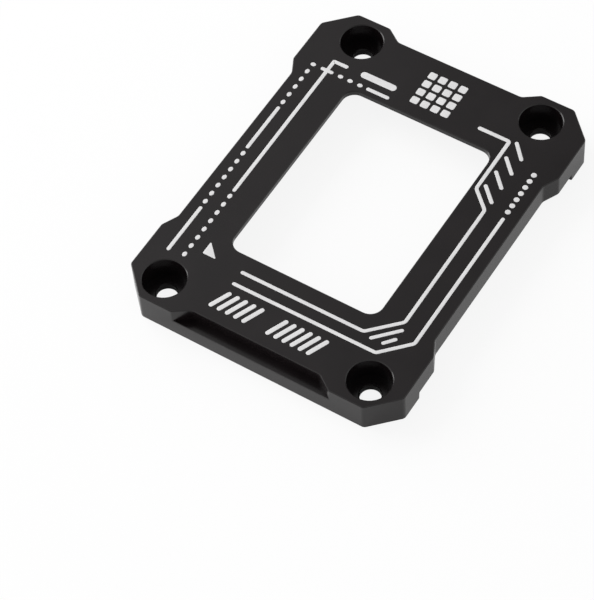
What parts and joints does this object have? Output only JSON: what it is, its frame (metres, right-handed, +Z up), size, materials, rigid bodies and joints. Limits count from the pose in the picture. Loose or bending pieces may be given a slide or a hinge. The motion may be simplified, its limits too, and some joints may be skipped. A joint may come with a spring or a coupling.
{
  "type": "cpu socket retention frame",
  "caption": "Milled aluminium frame that clamps a processor in its socket, with screw ears at its corners and a window for the heat spreader.",
  "frame": {"origin": "centre of the footprint, at the height of the board that the two end bars stand on", "axes": "+Z up, out of the board; Y along the frame, with +Y to the end whose screws sit closer together; X across the frame"},
  "size_m": [0.0536, 0.0706, 0.006],
  "materials": {
    "retention_frame": "black anodised, fine satin bead blast",
    "laser_marks": "pale silver-grey laser marks on the top face, with no thickness"
  },
  "bodies": {
    "root": {"retention_frame": "retention_frame"}
  },
  "joints": []
}
